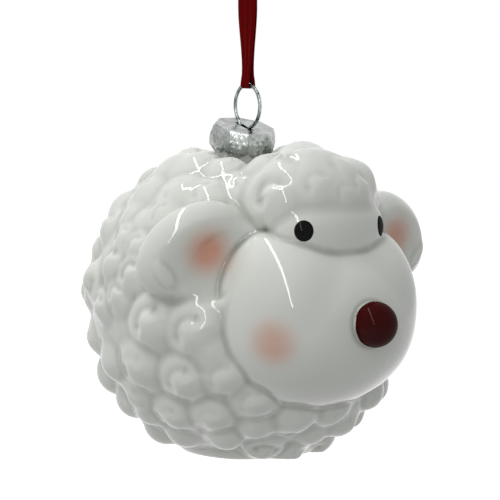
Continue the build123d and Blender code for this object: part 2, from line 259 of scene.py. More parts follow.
class CapSizes(bpy.types.PropertyGroup):
    """The stamped cap."""

    petals: count("Petals", 8, "Number of panels and petals")
    top_share: share("Top", 0.875, "Radius of the top, as a share of the widest radius")
    mouth_share: share("Mouth", 0.93, "Radius at the petals, as a share of the widest radius")
    turn: angle("Turn", 0.0, "Where the first panel faces, from the front")
    flat_share: share("Flatness", 0.95, "How flat each panel is between its folds")
    notch_share: share("Notch", 0.3, "Depth of the notches between petals, as a share of the height")
    sheet: length("Sheet", 0.0004, "Thickness of the metal")
    fold: length("Fold", 0.00028, "Depth of the folds between panels")
    stamp: length("Stamp", 0.0002, "Height of the stamped dots")
    stamp_radius: length("Stamp radius", 0.00042, "Radius of the stamped dots")
    bead: length("Bead", 0.00012, "Height of the bead round the top")
    crumple: length("Crumple", 0.00006, "Unevenness of the thin metal")
    slot_length: length("Slot length", 0.0074, "Length of the slot for the wire")
    slot_width: length("Slot width", 0.0015, "Width of the slot for the wire")


class RibbonSizes(bpy.types.PropertyGroup):
    """The ribbon and its knot."""

    width: length("Width", 0.0060, "Width of the ribbon")
    thickness: length("Thickness", 0.0003, "Thickness of the satin")
    gather_width: length("Gather width", 0.0034, "Width where the ribbon is bunched in the wire loop")
    gather_height: length("Gather height", 0.0190, "Height over which the ribbon opens out")
    pleat: length("Pleat", 0.00014, "Depth of the pleats in the bunched ribbon")
    twist: angle("Twist", 10.0, "How far the strands turn towards the front above the wire")
    pleats: count("Pleats", 3, "Number of pleats across the ribbon")
    strand_length: length("Strand length", 0.0475, "Length of one strand from the wire to the knot")
    knot_half: place("Knot size", (0.0030, 0.0033, 0.0031), "Half sizes of the knot's core")
    wrap_radius: length("Wrap radius", 0.0024, "Radius of a turn of ribbon round the knot")
    wrap_half: length("Wrap half width", 0.0012, "Half the width of such a turn")
    tail_length: length("Tail length", 0.0108, "Length of each cut end over the knot")
    tail_lean: angle("Tail lean", 16.0, "How far each cut end leans out")
    tail_notch: length("Tail notch", 0.0020, "Depth of the notch in each cut end")


class Finishes(bpy.types.PropertyGroup):
    """Colours of the paints, metals and satin."""

    lacquer: colour("Lacquer", (0.737, 0.760, 0.708), "White lacquer on the glass")
    # Painted shade: a dark colour blended into the lacquer in the creases, standing in for the shade that
    # falls there
    painted_shade: colour("Shade", (0.17, 0.192, 0.152), "Lacquer in the creases")
    blush: colour("Blush", (0.66, 0.29, 0.18), "Pink sprayed on the cheeks and in the ears")
    blush_radius: length("Blush radius", 0.0088, "Radius of a pink patch")
    blush_unevenness: share("Blush unevenness", 0.2, "How much the spray varies")
    nose: colour("Nose", (0.046, 0.0002, 0.0004), "Red enamel")
    eye: colour("Eye", (0.006, 0.006, 0.006), "Black enamel")
    silver: colour("Silver", (0.47, 0.495, 0.48), "Plated cap")
    silver_dull: colour("Dull silver", (0.26, 0.275, 0.265), "Dull patches of the cap")
    steel: colour("Steel", (0.42, 0.46, 0.445), "Wire")
    steel_dull: colour("Dull steel", (0.035, 0.055, 0.048), "Dull streaks of the wire")
    satin: colour("Satin", (0.118, 0.0003, 0.0004), "Ribbon")


class StageSizes(bpy.types.PropertyGroup):
    """The camera, the lights and the floor."""

    azimuth: angle("Azimuth", -35.0, "Where the camera stands round the ornament")
    elevation: angle("Elevation", 6.0, "How high the camera stands")
    distance: length("Distance", 0.5, "From the camera to the ball's middle")
    frame_width: length("Frame width", 0.1235, "Width of the picture at the ball's middle")
    look_above: length("Look above", 0.0123, "How far over the ball's middle the camera looks")
    look_beside: length("Look beside", 0.0006, "How far right of the ball's middle the camera looks")
    sensor: length("Sensor", 0.036, "Width of the camera's sensor")
    drop: length("Drop", 0.22, "Height of the ornament over the floor")
    floor_radius: length("Floor radius", 3.0, "Radius of the floor")
    floor_colour: colour("Floor colour", (0.5, 0.5, 0.5), "Colour of the floor")
    floor_glow: share("Floor glow", 0.95, "How brightly the floor shines where it is seen")
    ambient: share("Ambient", 0.36, "Light from all round")


def unit(vector):
    """A vector of length one in the same direction, for one vector or a row of them."""
    vector = np.asarray(vector, float)
    return vector / np.maximum(np.linalg.norm(vector, axis=-1, keepdims=True), NEARLY_ZERO)


def ball_middle():
    """The middle of the body's ball."""
    return np.array((0.0, 0.0, FOOT_LEVEL + bpy.context.scene.ornament_body.rise))


def about_axis(points, middle, axis):
    """How far points lie along an axis from its middle, and how far away from it."""
    rest = points - middle
    height = rest @ axis
    return height, np.linalg.norm(rest - np.outer(height, axis), axis=1)


def along_neck(node):
    """A CAD node's lowest and highest reach along the neck's axis, and its widest radius."""
    corners = np.array([vertex.co for vertex in frame["nodes"][node].data.vertices], float)
    height, across = about_axis(corners, LOOP_CENTRE, NECK_AXIS)
    return height.min(), height.max(), across.max()


def node_middle(node):
    """The middle of a CAD node's box."""
    low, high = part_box(node)
    return np.array((low + high) / 2)


class PhotoView:
    """The photograph's camera, and the ray through each of its pixels."""

    def __init__(self):
        stage = bpy.context.scene.ornament_stage
        turn, tilt = stage.azimuth, stage.elevation
        self.right = np.array((math.cos(turn), math.sin(turn), 0.0))
        self.back = np.array(
            (math.sin(turn) * math.cos(tilt), -math.cos(turn) * math.cos(tilt), math.sin(tilt))
        )
        self.up = np.cross(self.back, self.right)
        self.pixel = stage.frame_width / PHOTO_PIXELS
        self.target = ball_middle() + self.up * stage.look_above + self.right * stage.look_beside
        self.eye = self.target + self.back * stage.distance

    def ray(self, across, down):
        """The direction from the camera through a pixel."""
        aside = (across - PHOTO_PIXELS / 2) * self.pixel
        above = (PHOTO_PIXELS / 2 - down) * self.pixel
        return unit(self.target + self.right * aside + self.up * above - self.eye)


def direction(turn, rise):
    """A direction given as degrees round from the face and degrees up, for one or for rows of them."""
    around, above = np.radians(turn), np.radians(rise)
    return np.stack(
        (np.cos(above) * np.sin(around), -np.cos(above) * np.cos(around), np.sin(above)), axis=-1
    )


def spread_evenly(number):
    """Directions spread evenly all round, along a spiral."""
    index = np.arange(number)
    return direction(index * 180 * (3 - math.sqrt(5)), np.degrees(np.arcsin(1 - (2 * index + 1) / number)))


def one_side(points):
    """Points folded over to the sheep's left, for forms that both sides share."""
    return np.column_stack((np.abs(points[:, 0]), points[:, 1:]))


def within(local, half):
    """Which points lie inside an ellipsoid of three half sizes."""
    return ((local / np.array(half)) ** 2).sum(axis=1) < 1


def smooth_union(first, second, softness):
    """Two shapes joined, with their crease filled a little."""
    mix = np.clip(0.5 + 0.5 * (second - first) / softness, 0.0, 1.0)
    return second + (first - second) * mix - softness * mix * (1.0 - mix)


def smooth_cut(shape, tool, softness):
    """A shape with another cut out of it, and the cut's edge rounded."""
    return -smooth_union(-shape, tool, softness)


def ellipsoid(points, middle, half, axes=None):
    """Distance to an ellipsoid, whose own directions are the columns of axes."""
    local = points - middle
    if axes is not None:
        local = local @ axes
    scaled = local / np.asarray(half)
    reach = np.linalg.norm(scaled, axis=1)
    slope = np.linalg.norm(scaled / np.asarray(half), axis=1)
    return reach * (reach - 1.0) / np.maximum(slope, NEARLY_ZERO)


def drum(points, middle, axis, radius, half_height, rounding=0.0):
    """Distance to a round bar with rounded edges."""
    height, across = about_axis(points, middle, axis)
    out = across - radius + rounding
    over = np.abs(height) - half_height + rounding
    outside = np.hypot(np.maximum(out, 0.0), np.maximum(over, 0.0))
    return outside + np.minimum(np.maximum(out, over), 0.0) - rounding


def ring(points, middle, axis, radius, half):
    """Distance to a torus."""
    height, across = about_axis(points, middle, axis)
    return np.hypot(across - radius, height) - half


def reach_surface(distance, start, heading, level=0.0, outward=False):
    """Where rays first meet a shape, walking in from outside or out from inside."""
    steps, care = 70, 0.85
    sign = -1.0 if outward else 1.0
    travelled = np.zeros(len(start))
    for _ in range(steps):
        travelled += sign * care * (distance(start + heading * travelled[:, None]) - level)
    return start + heading * travelled[:, None]


def slope_of(distance, points):
    """The direction in which the distance grows at each point."""
    nudge = 2e-5
    here = distance(points)
    steps = [(distance(points + nudge * axis) - here) / nudge for axis in np.eye(3)]
    return here, np.stack(steps, axis=1)


def settle(distance, points):
    """Points moved straight onto a shape's surface."""
    here, slope = slope_of(distance, points)
    return points - slope * (here / np.maximum((slope**2).sum(axis=1), NEARLY_ZERO))[:, None]


class GlassShape:
    """The outside of the glass as a distance: negative inside, zero at the surface."""

    def __init__(self):
        scene = bpy.context.scene
        self.body, self.head, self.wool = scene.ornament_body, scene.ornament_head, scene.ornament_wool
        self.ball = ball_middle()
        self.cap_low, self.cap_high, self.cap_radius = along_neck("cap")
        self.nose = node_middle("nose_enamel")
        coat = scene.ornament_enamel.solid_coat
        self.nose[1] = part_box("nose_enamel")[0].y + coat + self.head.nose_radius
        turn, droop = self.head.ear_turn, self.head.ear_droop
        self.ear_axes = np.array(Matrix.Rotation(turn, 3, "Z") @ Matrix.Rotation(droop, 3, "Y"))
        self.curls = self.seen_curls()
        self.curls += self.packed_curls()

    def part(self, offset):
        """A place given from the middle of the ball."""
        return self.ball + np.array(offset)

    def plain(self, points):
        """The ball, its foot and the crown, before the wool."""
        body = self.body
        ball = np.linalg.norm(points - self.ball, axis=1) - body.ball_radius
        ball = smooth_cut(ball, self.hollow(points), body.hollow_softness)
        half = body.foot_height / 2
        foot_middle = np.array((0.0, 0.0, FOOT_LEVEL + half))
        up = np.array((0.0, 0.0, 1.0))
        foot = drum(points, foot_middle, up, body.foot_radius, half, body.foot_rounding)
        crown = ellipsoid(points, self.part(self.head.crown), self.head.crown_half)
        shape = smooth_union(ball, foot, body.foot_rounding)
        return smooth_union(shape, crown, body.foot_rounding)

    def hollow(self, points):
        """The shallow hollow in the ball that the cap stands in."""
        body = self.body
        height, across = about_axis(points, LOOP_CENTRE, NECK_AXIS)
        beyond = np.maximum(across - self.cap_radius - body.well_room, 0.0)
        floor = self.cap_low - body.hollow_drop + body.hollow_slope * beyond
        return (floor - height) / math.hypot(1.0, body.hollow_slope)

    def ears(self, points):
        """Both ears: leaves with a hollow and a fold in the tip."""
        head = self.head
        local = (one_side(points) - self.part(head.ear)) @ self.ear_axes
        leaf = ellipsoid(local, np.zeros(3), head.ear_half)
        dish = ellipsoid(local, np.array(head.dish), head.dish_half)
        fold = ellipsoid(local, np.array(head.fold), head.fold_half)
        return smooth_union(smooth_cut(leaf, dish, head.ear_edge), fold, head.ear_edge)

    def ear_pits(self, points):
        """The sunk places between the ears and the face."""
        head = self.head
        local = (one_side(points) - self.part(head.ear)) @ self.ear_axes
        return ellipsoid(local, np.array(head.pit), head.pit_half)

    def well(self, points):
        """The room round the cap."""
        floor = self.cap_low - self.body.cap_room
        half = self.body.ball_radius / 2
        middle = LOOP_CENTRE + NECK_AXIS * (floor + half)
        return drum(points, middle, NECK_AXIS, self.cap_radius + self.body.well_room, half)

    def woolly(self, points, shape):
        """A shape with the curls of wool added."""
        block = 6000
        for first in range(0, len(points), block):
            part = slice(first, first + block)
            low, high = points[part].min(axis=0), points[part].max(axis=0)
            for curl in self.curls:
                room = curl.radius + 2 * self.wool.crease
                if (curl.middle + room > low).all() and (curl.middle - room < high).all():
                    shape[part] = self.with_curl(points[part], shape[part], curl, room)
        return shape

    def with_curl(self, points, shape, curl, room):
        """A shape with one curl added: a round bump with a swirl pressed into it."""
        wool = self.wool
        near = np.abs(points - curl.middle).max(axis=1) < room
        rest = points[near] - curl.middle
        bump = np.linalg.norm(rest, axis=1) - curl.radius
        if curl.depth:
            along = rest @ curl.bow
            aside = rest @ np.cross(curl.outward, curl.bow)
            out = np.hypot(along, aside)
            from_ring = (out / curl.spread - wool.groove_ring_share) / wool.groove_width_share
            bowed = along / np.maximum(out, NEARLY_ZERO) + GROOVE_END
            bowed = np.clip(bowed / GROOVE_FADE, 0.0, 1.0)
            bump += curl.depth * np.exp(-(from_ring**2)) * bowed
        shape[near] = smooth_union(shape[near], bump, wool.crease)
        return shape

    def distance(self, points):
        """The whole outside."""
        head, body = self.head, self.body
        shape = self.woolly(points, self.plain(points))
        shape = smooth_union(shape, self.ears(points), head.ear_crease)
        shape = smooth_cut(shape, self.ear_pits(points), head.pit_softness)
        muzzle = ellipsoid(points, self.part(head.muzzle), head.muzzle_half)
        cheeks = ellipsoid(one_side(points), self.part(head.cheek), head.cheek_half)
        face = smooth_union(muzzle, cheeks, head.cheek_softness)
        shape = smooth_union(shape, face, head.face_crease)
        brow = ellipsoid(points, self.part(head.brow), head.brow_half)
        shape = smooth_union(shape, brow, head.brow_crease)
        nose = np.linalg.norm(points - self.nose, axis=1) - head.nose_radius
        shape = smooth_union(shape, nose, head.nose_crease)
        shape = smooth_cut(shape, self.well(points), body.well_softness)
        neck_top = self.cap_high - bpy.context.scene.ornament_cap.sheet
        half = (neck_top + body.bore_depth) / 2
        middle = LOOP_CENTRE + NECK_AXIS * (neck_top - half)
        neck = drum(points, middle, NECK_AXIS, body.neck_radius, half)
        shape = np.minimum(shape, neck)
        bore = drum(points, middle + NECK_AXIS * half, NECK_AXIS, body.bore_radius, 2 * half)
        shape = np.maximum(shape, -bore)
        wave = np.sin(points * RIPPLE_WAVES + RIPPLE_STARTS).prod(axis=1)
        return np.maximum(shape + body.ripple * wave, FOOT_LEVEL - points[:, 2])

    def on_body(self, outward):
        """Places on the ball in some directions, and which way the surface faces there."""
        return self.ball + outward * self.body.ball_radius, outward

    def on_crown(self, outward):
        """Places on the crown in some directions, and which way the surface faces there."""
        half = np.array(self.head.crown_half)
        return self.part(self.head.crown) + outward * half, unit(outward / half)

    def curl(self, spot, outward, claim, bow, swirl, fullness=1.0):
        """A curl: part of a ball, as wide as its spread at its foot, and flatter on the upper body."""
        wool = self.wool
        high = spot[2] > self.ball[2] + self.body.ball_radius / 2
        relief = claim * (wool.high_relief_share if high else wool.relief_share)
        spread = claim * fullness
        radius = (spread**2 + relief**2) / (2 * relief)
        bow = unit(bow - outward * (bow @ outward))
        middle = spot + outward * (relief - radius)
        return Curl(spot, middle, radius, claim, spread, outward, bow, wool.groove_depth * swirl)

    def seen_curls(self):
        """The curls in the photograph, each with its swirl bowed up and to the left as seen there."""
        view = PhotoView()
        bow = view.up - view.right
        curls = []
        for rows, surface in ((BODY_CURLS, self.on_body), (CROWN_CURLS, self.on_crown)):
            for turn, rise, size, swirl in rows:
                spot, outward = surface(direction(turn, rise))
                claim = size * self.wool.curl_radius
                curls.append(self.curl(spot, outward, claim, bow, swirl, self.wool.fullness))
        return curls

    def crowded(self, spots):
        """Which spots lie under the face, an ear or the cap, or down at the foot."""
        head, gap = self.head, self.wool.head_room
        _, across = about_axis(spots, LOOP_CENTRE, NECK_AXIS)
        well = self.cap_radius + self.body.well_room
        ear = (one_side(spots) - self.part(head.ear)) @ self.ear_axes
        return (
            ((across < well + gap) & (spots[:, 2] > self.ball[2]))
            | (spots[:, 2] < FOOT_LEVEL + gap)
            | within(spots - self.part(head.muzzle_room), np.array(head.muzzle_room_half) + gap)
            | within(spots - self.part(head.brow_room), np.array(head.brow_room_half) + gap)
            | within(ear, np.array(head.ear_room_half) + gap)
        )

    def packed_curls(self):
        """Curls for the sides that the photograph doesn't show, packed close to each other."""
        wool = self.wool
        trials = spread_evenly(wool.trials)
        body, crown = self.on_body(trials), self.on_crown(trials)
        under_crown = within(body[0] - self.part(self.head.crown), self.head.crown_half)
        body_free = ~self.crowded(body[0]) & ~under_crown
        crown_out = np.linalg.norm(crown[0] - self.ball, axis=1) > self.body.ball_radius
        crown_free = ~self.crowded(crown[0]) & crown_out
        free = np.stack((body_free, crown_free), axis=1).ravel()
        spots = np.stack((body[0], crown[0]), axis=1).reshape(-1, 3)[free]
        facing = np.stack((body[1], crown[1]), axis=1).reshape(-1, 3)[free]
        taken = np.array([curl.spot for curl in self.curls])
        claims = np.array([curl.claim for curl in self.curls])
        nearest = (np.linalg.norm(spots[:, None, :] - taken, axis=2) - claims).min(axis=1)
        room = wool.spacing - wool.curl_radius
        draw = np.random.default_rng(wool.seed)
        curls = []
        while (nearest > room).any():
            pick = np.argmin(np.where(nearest > room, nearest, np.inf))
            claim = wool.curl_radius * SIZE_SHARES[(len(self.curls) + len(curls)) % len(SIZE_SHARES)]
            swirl = draw.uniform(*SWIRL_DEPTHS) if draw.random() < wool.swirled_share else 0.0
            curls.append(self.curl(spots[pick], facing[pick], claim, draw.normal(size=3), swirl))
            nearest = np.minimum(nearest, np.linalg.norm(spots - spots[pick], axis=1) - claim)
        return curls


def surface_net(values, low, step):
    """Corner points and four-sided faces where a grid of distances passes zero."""
    inside = values < 0
    corners = np.array([(i, j, k) for i in (0, 1) for j in (0, 1) for k in (0, 1)])
    cells_each_way = np.array(values.shape) - 1
    held = np.zeros(cells_each_way, np.int8)
    for corner in corners:
        held += inside[tuple(slice(at, at + size) for at, size in zip(corner, cells_each_way))]
    cells = np.argwhere((held > 0) & (held < len(corners)))
    at_corners = values[tuple((cells[:, None, :] + corners).transpose(2, 0, 1))]
    crossing = np.zeros((len(cells), 3))
    hits = np.zeros(len(cells))
    for first in range(len(corners)):
        for second in range(first + 1, len(corners)):
            edge = corners[second] - corners[first]
            if np.abs(edge).sum() == 1:
                start, end = at_corners[:, first], at_corners[:, second]
                crosses = (start < 0) != (end < 0)
                along = start / np.where(crosses, start - end, 1.0)
                crossing += crosses[:, None] * (corners[first] + along[:, None] * edge)
                hits += crosses
    points = low + (cells + crossing / hits[:, None]) * step
    number = np.full(cells_each_way, -1)
    number[tuple(cells.T)] = np.arange(len(cells))
    faces = []
    for axis in range(3):
        order = (axis, (axis + 1) % 3, (axis + 2) % 3)
        sides = inside.transpose(order)
        numbers = number.transpose(order)
        before, after = sides[:-1, 1:-1, 1:-1], sides[1:, 1:-1, 1:-1]
        for leaving, turn in ((before & ~after, 1), (after & ~before, -1)):
            i, j, k = np.nonzero(leaving)
            face = (numbers[i, j, k], numbers[i, j + 1, k], numbers[i, j + 1, k + 1], numbers[i, j, k + 1])
            faces.append(np.stack(face[::turn], axis=1))
    return points, np.concatenate(faces)


def relax(points, faces):
    """Points eased towards the middle of their neighbours."""
    total = np.zeros_like(points)
    times = np.zeros(len(points))
    for corner in range(4):
        here, there = faces[:, corner], faces[:, (corner + 1) % 4]
        for one, other in ((here, there), (there, here)):
            np.add.at(total, one, points[other])
            np.add.at(times, one, 1)
    return points + (total / times[:, None] - points) / 2


def shape_mesh(distance, low, high, step):
    """Points, faces and normals of a shape's surface within a box."""
    block, room, band, rounds = 4, 4 * step, 5 * step, 2
    blocks = [math.ceil((b - a + 2 * room) / step / block) for a, b in zip(low, high)]
    first = np.asarray(low) - room
    ticks = [start + step * np.arange(block * size) for start, size in zip(first, blocks)]
    middles = [tick.reshape(-1, block).mean(axis=1) for tick in ticks]
    coarse = np.stack(np.meshgrid(*middles, indexing="ij"), axis=-1)
    values = distance(coarse.reshape(-1, 3)).reshape(blocks)
    for axis in range(3):
        values = np.repeat(values, block, axis=axis)
    near = np.argwhere(np.abs(values) < band)
    values[tuple(near.T)] = distance(first + near * step)
    points, faces = surface_net(values, first, step)
    for _ in range(rounds):
        points = settle(distance, relax(points, faces))
    points = settle(distance, points)
    _, slope = slope_of(distance, points)
    return points, faces, unit(slope)


def new_piece(name, points, faces, finish, body, normals=None):
    """A smooth mesh piece that rides on a body."""
    mesh = bpy.data.meshes.new(name)
    mesh.from_pydata(np.asarray(points).tolist(), [], [tuple(face) for face in faces])
    mesh.materials.append(finish)
    mesh.shade_smooth()
    if normals is not None:
        mesh.normals_split_custom_set_from_vertices(normals.tolist())
    piece = bpy.data.objects.new(name, mesh)
    bpy.context.scene.collection.objects.link(piece)
    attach(piece, body)
    return piece


def grid_faces(rows, columns):
    """Four-sided faces over rings of points, joined round into a tube."""
    faces = []
    for start in range(0, (rows - 1) * columns, columns):
        for column in range(columns):
            after = (column + 1) % columns
            faces.append((start + column, start + after, start + columns + after, start + columns + column))
    return faces


def add_node(owner, kind, links=(), **settings):
    """A node in a finish or the world: settings are its own values, links are (its input, what feeds it)."""
    node = owner.node_tree.nodes.new(kind)
    for name, value in settings.items():
        setattr(node, name, value)
    for socket, source in links:
        if isinstance(source, bpy.types.NodeSocket):
            owner.node_tree.links.new(source, node.inputs[socket])
        else:
            node.inputs[socket].default_value = source
    return node


def new_finish(name, **sockets):
    """A material whose one shader has these constant values."""
    finish = bpy.data.materials.new(name)
    finish.use_nodes = True
    shader = finish.node_tree.nodes["Principled BSDF"]
    for socket, value in sockets.items():
        shader.inputs[socket.replace("_", " ")].default_value = value
    return finish, shader


def opaque(rgb, amount=1.0):
    """A colour with full alpha, darker or lighter by some amount."""
    return (*(amount * value for value in rgb), 1.0)


def plug(owner, source, shader, socket):
    """Joins a node's output to the shader."""
    owner.node_tree.links.new(source, shader.inputs[socket])


def own_place(owner, stretch=(1.0, 1.0, 1.0)):
    """Where a point lies on its own piece, with each direction stretched."""
    where = add_node(owner, "ShaderNodeTexCoord").outputs["Object"]
    return add_node(owner, "ShaderNodeMapping", [("Vector", where), ("Scale", stretch)]).outputs["Vector"]


def noise(owner, where, scale, detail, roughness=0.5):
    """A cloudy pattern between zero and one."""
    links = [("Vector", where), ("Scale", scale), ("Detail", detail), ("Roughness", roughness)]
    return add_node(owner, "ShaderNodeTexNoise", links).outputs["Fac"]


def ranged(owner, value, start, end, low=0.0, high=1.0, curve="LINEAR"):
    """A value between start and end, carried over to between low and high."""
    links = [("Value", value), ("From Min", start), ("From Max", end), ("To Min", low), ("To Max", high)]
    return add_node(owner, "ShaderNodeMapRange", links, interpolation_type=curve).outputs["Result"]


def combined(owner, operation, first, second):
    """Two values put together."""
    return add_node(owner, "ShaderNodeMath", [(0, first), (1, second)], operation=operation).outputs["Value"]


def blended(owner, factor, first, second):
    """A colour between two others."""
    links = [("Factor", factor), ("A", first), ("B", second)]
    return add_node(owner, "ShaderNodeMix", links, data_type="RGBA").outputs["Result"]


def roughen(finish, shader, height, strength, distance):
    """Presses a pattern into a finish."""
    links = [("Height", height), ("Strength", strength), ("Distance", distance)]
    plug(finish, add_node(finish, "ShaderNodeBump", links).outputs["Normal"], shader, "Normal")


def blush_spots(shape):
    """Where the pink is sprayed and how strongly: at the photograph's pixels and on the other side."""
    view = PhotoView()
    rays = np.array([view.ray(*pixel) for pixel, _ in BLUSHES])
    starts = np.repeat(view.eye[None, :], len(rays), axis=0)
    spots = reach_surface(shape.distance, starts, rays)
    return [
        ((x * side, y, z), amount)
        for (x, y, z), (_, amount) in zip(spots, BLUSHES)
        for side in (1.0, -1.0)
    ]


def sprayed_pink(finish, where, spots):
    """How far the pink covers the white: the strongest of its round patches, a little mottled."""
    colours = bpy.context.scene.ornament_finishes
    radius, uneven = colours.blush_radius, colours.blush_unevenness
    strength = 0.0
    for middle, amount in spots:
        away = add_node(finish, "ShaderNodeVectorMath", [(0, where), (1, middle)], operation="DISTANCE")
        patch = ranged(finish, away.outputs["Value"], radius, 0.0, high=amount, curve="SMOOTHERSTEP")
        strength = combined(finish, "MAXIMUM", strength, patch)
    cloud = noise(finish, where, scale=240.0, detail=3.0)
    mottled = ranged(finish, cloud, 0.0, 1.0, low=1.0 - uneven, high=1.0 + uneven)
    return combined(finish, "MULTIPLY", strength, mottled)


def white_lacquer(shape):
    """Glossy white lacquer with painted shade that darkens it in the creases, and pink sprayed on the cheeks
    and in the ears.
    """
    colours = bpy.context.scene.ornament_finishes
    finish, shader = new_finish(
        "white_lacquer",
        Roughness=0.4,
        Specular_IOR_Level=0.0,
        Coat_Weight=1.0,
        Coat_Roughness=0.035,
        Coat_IOR=1.5,
    )
    where = own_place(finish)
    bulge = add_node(finish, "ShaderNodeNewGeometry").outputs["Pointiness"]
    # Painted shade: where the mesh's pointiness falls into hollows, the lacquer is blended towards the dark
    # shade colour, standing in for the shade in the creases
    shade_full, shade_gone = 0.445, 0.505
    unshaded = ranged(finish, bulge, shade_full, shade_gone)
    white = blended(finish, unshaded, opaque(colours.painted_shade), opaque(colours.lacquer))
    pink = sprayed_pink(finish, where, blush_spots(shape))
    plug(finish, blended(finish, pink, white, opaque(colours.blush)), shader, "Base Color")
    roughen(finish, shader, noise(finish, where, scale=700.0, detail=2.0), strength=0.03, distance=0.0005)
    return finish


def enamel_finish(name, rgb):
    """Thick brushed enamel, a little uneven in colour."""
    finish, shader = new_finish(
        name, Roughness=0.3, Specular_IOR_Level=0.0, Coat_Weight=0.12, Coat_Roughness=0.05
    )
    cloud = noise(finish, own_place(finish), scale=420.0, detail=4.0)
    plug(finish, blended(finish, cloud, opaque(rgb, 0.6), opaque(rgb, 1.3)), shader, "Base Color")
    roughen(finish, shader, cloud, strength=0.12, distance=0.0004)
    return finish


def metal_finish(name, bright, dull, scale, stretch=(1.0, 1.0, 1.0)):
    """Stamped or drawn metal: dull patches among bright ones."""
    finish, shader = new_finish(name, Metallic=1.0, Roughness=0.24)
    grain = noise(finish, own_place(finish, stretch), scale, detail=4.0, roughness=0.62)
    patches = ranged(finish, grain, 0.38, 0.56)
    plug(finish, blended(finish, patches, opaque(dull), opaque(bright)), shader, "Base Color")
    roughen(finish, shader, grain, strength=0.1, distance=0.0004)
    return finish


def satin_finish():
    """Dark red satin: fine lengthwise threads with a soft sheen."""
    satin = bpy.context.scene.ornament_finishes.satin
    finish, shader = new_finish(
        "red_satin", Roughness=0.5, Sheen_Weight=0.01, Sheen_Roughness=0.3, Specular_IOR_Level=0.03
    )
    thread = noise(finish, own_place(finish, (9000.0, 9000.0, 260.0)), scale=1.0, detail=2.0)
    plug(finish, blended(finish, thread, opaque(satin, 0.7), opaque(satin, 1.3)), shader, "Base Color")
    roughen(finish, shader, thread, strength=0.25, distance=0.0001)
    return finish


def make_glass(shape):
    """The lacquered glass body."""
    low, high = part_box("glass_body")
    proud = bpy.context.scene.ornament_wool.curl_radius / 2
    body = bpy.context.scene.ornament_body
    step = body.mesh_step
    low, high = np.array(low) - proud, np.array(high) + proud
    low[2] = FOOT_LEVEL
    points, faces, normals = shape_mesh(shape.distance, low, high, step)
    finish = white_lacquer(shape)
    piece = new_piece("glass", points, faces.tolist(), finish, "glass", normals)
    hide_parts("glass_body")


def paint_coat(name, shape, origin, facing, spread, finish, node):
    """A coat of enamel over part of the glass, seen from a point inside it, with its edge drawn down thin."""
    sizes = bpy.context.scene.ornament_enamel
    rows, columns = 16, 72
    edge_drop, edge_sharpness = 1.5, 6
    turns = np.linspace(0.0, 2 * math.pi, columns, endpoint=False)
    side = unit(np.cross((0.0, 0.0, 1.0), facing))
    up = np.cross(facing, side)
    round_about = np.outer(np.cos(turns), side) + np.outer(np.sin(turns), up)
    parts = np.arange(1, rows + 1) / rows
    front = sizes.thickness * (1.0 - edge_drop * parts**edge_sharpness)
    back = np.full(rows - 1, -sizes.sunk)
    bends = np.outer(np.concatenate((parts, parts[-2::-1])), spread(turns))[:, :, None]
    lines = facing * np.cos(bends) + round_about * np.sin(bends)
    lines = np.concatenate((lines.reshape(-1, 3), facing[None, :], facing[None, :]))
    lifts = np.concatenate((np.repeat(np.concatenate((front, back)), columns), front[:1], back[:1]))
    starts = np.repeat(origin[None, :], len(lines), axis=0)
    points = reach_surface(shape.distance, starts, lines, lifts, outward=True)
    loops = 2 * rows - 1
    faces = [face[::-1] for face in grid_faces(loops, columns)]
    tip, end = loops * columns, loops * columns + 1
    last = (loops - 1) * columns
    for column in range(columns):
        after = (column + 1) % columns
        faces.append((column, after, tip))
        faces.append((last + after, last + column, end))
    piece = new_piece(name, points, faces, finish, "glass")
    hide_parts(node)


def make_enamel(shape):
    """The red nose and the two black eyes."""
    scene = bpy.context.scene
    sizes, colours = scene.ornament_enamel, scene.ornament_finishes
    red = enamel_finish("red_enamel", colours.nose)
    black = enamel_finish("black_enamel", colours.eye)
    depth = sizes.eye_height
    wide = math.atan(sizes.eye_width / 2 / depth)
    tall = math.atan(sizes.eye_height / 2 / depth)

    def nose_spread(turns):
        wobble = sum(amount * np.sin(waves * turns + start) for waves, start, amount in NOSE_WAVES)
        return sizes.nose_spread + sizes.nose_wobble * wobble

    def eye_spread(turns):
        return 1.0 / np.hypot(np.cos(turns) / wide, np.sin(turns) / tall)

    front = np.array((0.0, -1.0, 0.0))
    inside = shape.nose - front * sizes.nose_depth
    paint_coat("nose", shape, inside, front, nose_spread, red, "nose_enamel")
    brow = shape.part(shape.head.brow)
    for name, node in (("left_eye", "left_eye_enamel"), ("right_eye", "right_eye_enamel")):
        middle = node_middle(node)
        facing = unit((middle - brow) / np.array(shape.head.brow_half) ** 2)
        origin = middle - facing * depth
        paint_coat(name, shape, origin, facing, eye_spread, black, node)


def dot_shares():
    """A panel's stamped dots, as shares of its width and height: one in a ring of six, and the rest."""
    middle, ring_across, ring_down, dots = 0.42, 0.26, 0.2, 6
    turns = np.arange(dots) * 2 * math.pi / dots
    in_ring = [(ring_across * math.cos(turn), middle + ring_down * math.sin(turn)) for turn in turns]
    return [(0.0, middle), *in_ring, *LOOSE_DOT_SHARES]


def slot_reach(turns, sizes):
    """How far the edge of the wire's slot lies from its middle, each way round."""
    half = sizes.slot_width / 2
    straight = sizes.slot_length / 2 - half
    sine, cosine = np.abs(np.sin(turns)), np.abs(np.cos(turns))
    long_side = half / np.maximum(sine, NEARLY_ZERO)
    round_end = straight * cosine + np.sqrt(np.maximum(half**2 - (straight * sine) ** 2, 0.0))
    return np.where(sine * straight > half, long_side, np.minimum(long_side, round_end))


